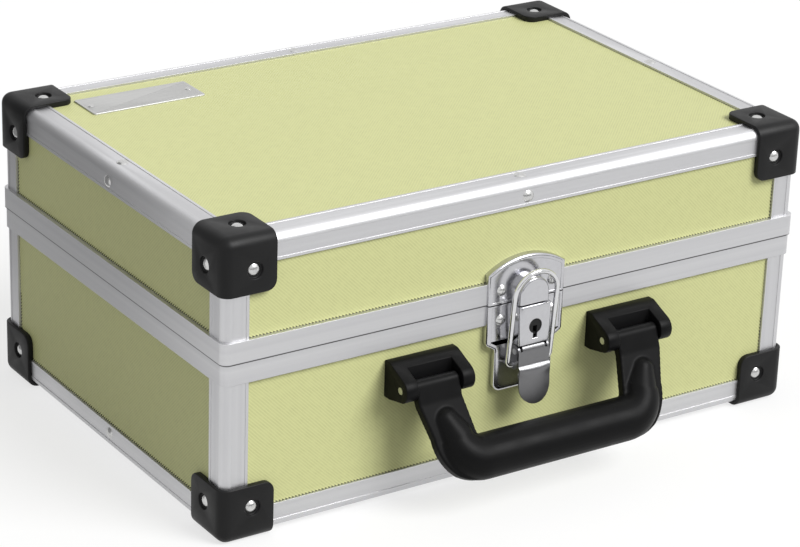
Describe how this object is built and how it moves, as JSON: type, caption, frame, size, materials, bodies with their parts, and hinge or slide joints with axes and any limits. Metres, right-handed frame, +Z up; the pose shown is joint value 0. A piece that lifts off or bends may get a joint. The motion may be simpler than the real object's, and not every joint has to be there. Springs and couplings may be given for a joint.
{
  "type": "tool case",
  "caption": "Box-shaped tool case with ribbed laminate panels in aluminium edge extrusions, black corner protectors, a hinged lid, a draw latch with a lock and a folding handle.",
  "frame": {"origin": "on the ground, at the middle of the footprint of the whole object with its handle and hinges", "axes": "+X to the case's right, the front with the latch and the handle faces -Y, +Z up"},
  "size_m": [0.33, 0.2702, 0.151],
  "materials": {
    "panel_laminate": "pale yellow-green laminate with fine diagonal ribs, satin",
    "frame_aluminium": "natural anodised extrusion, satin, drawn along its length",
    "corner_plastic": "moulded black plastic with soft edges, semi-matt",
    "handle_plastic": "moulded black plastic, satin on the round grip",
    "rivet_steel": "nickel-plated dome heads, bright",
    "latch_chrome": "polished chrome plate on drawn steel",
    "plug_metal": "dark lock plug in the shade of its housing",
    "pin_steel": "bright drawn steel wire and screws",
    "hinge_steel": "nickel-plated pressed steel",
    "nameplate_metal": "stamped satin aluminium, left bare",
    "foam": "black cellular foam lining"
  },
  "bodies": {
    "base": {"base_bottom_edge_back": "frame_aluminium", "base_bottom_edge_front": "frame_aluminium", "base_bottom_edge_left": "frame_aluminium", "base_bottom_edge_right": "frame_aluminium", "base_fitting_rivets": "rivet_steel", "base_frame_rivets": "rivet_steel", "base_lining": "foam", "base_panel_back": "panel_laminate", "base_panel_bottom": "panel_laminate", "base_panel_front": "panel_laminate", "base_panel_left": "panel_laminate", "base_panel_right": "panel_laminate", "base_post_back_left": "frame_aluminium", "base_post_back_right": "frame_aluminium", "base_post_front_left": "frame_aluminium", "base_post_front_right": "frame_aluminium", "base_protector_back_left": "corner_plastic", "base_protector_back_right": "corner_plastic", "base_protector_front_left": "corner_plastic", "base_protector_front_right": "corner_plastic", "base_rim": "frame_aluminium", "bracket_screws": "pin_steel", "handle_bracket_left": "handle_plastic", "handle_bracket_right": "handle_plastic", "handle_pins": "pin_steel", "hinge_base_leaves": "hinge_steel", "hinge_pins": "pin_steel", "latch_base_plate": "latch_chrome", "lever_pin": "pin_steel", "lock_housing": "latch_chrome"},
    "lid": {"lid_fitting_rivets": "rivet_steel", "lid_frame_rivets": "rivet_steel", "lid_pad": "foam", "lid_panel_back": "panel_laminate", "lid_panel_front": "panel_laminate", "lid_panel_left": "panel_laminate", "lid_panel_right": "panel_laminate", "lid_panel_top": "panel_laminate", "lid_post_back_left": "frame_aluminium", "lid_post_back_right": "frame_aluminium", "lid_post_front_left": "frame_aluminium", "lid_post_front_right": "frame_aluminium", "lid_protector_back_left": "corner_plastic", "lid_protector_back_right": "corner_plastic", "lid_protector_front_left": "corner_plastic", "lid_protector_front_right": "corner_plastic", "lid_rim": "frame_aluminium", "lid_top_edge_back": "frame_aluminium", "lid_top_edge_front": "frame_aluminium", "lid_top_edge_left": "frame_aluminium", "lid_top_edge_right": "frame_aluminium", "latch_strike_plate": "latch_chrome", "hinge_lid_leaves": "hinge_steel", "nameplate": "nameplate_metal"},
    "lever": {"latch_lever": "latch_chrome"},
    "loop": {"draw_loop": "latch_chrome"},
    "plug": {"lock_plug": "plug_metal"},
    "handle": {"carrying_handle": "handle_plastic"}
  },
  "joints": [
    {"name": "lid_hinge", "type": "hinge", "parent": "base", "child": "lid", "pos_m": [0, 0.13049, 0.09015], "axis": [-1, 0, 0], "range_deg": [0, 95]},
    {"name": "lever_turn", "type": "hinge", "parent": "base", "child": "lever", "pos_m": [0, -0.10081, 0.0662], "axis": [-1, 0, 0], "range_deg": [0, 90]},
    {"name": "loop_swing", "type": "hinge", "parent": "lever", "child": "loop", "pos_m": [0, -0.10011, 0.0594], "axis": [1, 0, 0], "range_deg": [0, 120]},
    {"name": "plug_turn", "type": "hinge", "parent": "base", "child": "plug", "pos_m": [0, -0.10051, 0.0791], "axis": [0, -1, 0], "range_deg": [0, 90]},
    {"name": "handle_swing", "type": "hinge", "parent": "base", "child": "handle", "pos_m": [0, -0.10631, 0.0634], "axis": [-1, 0, 0], "range_deg": [0, 75]}
  ],
  "couplings": [
    {"joint": "loop_swing", "follows": "lever_turn", "ratio": 1.3}
  ]
}
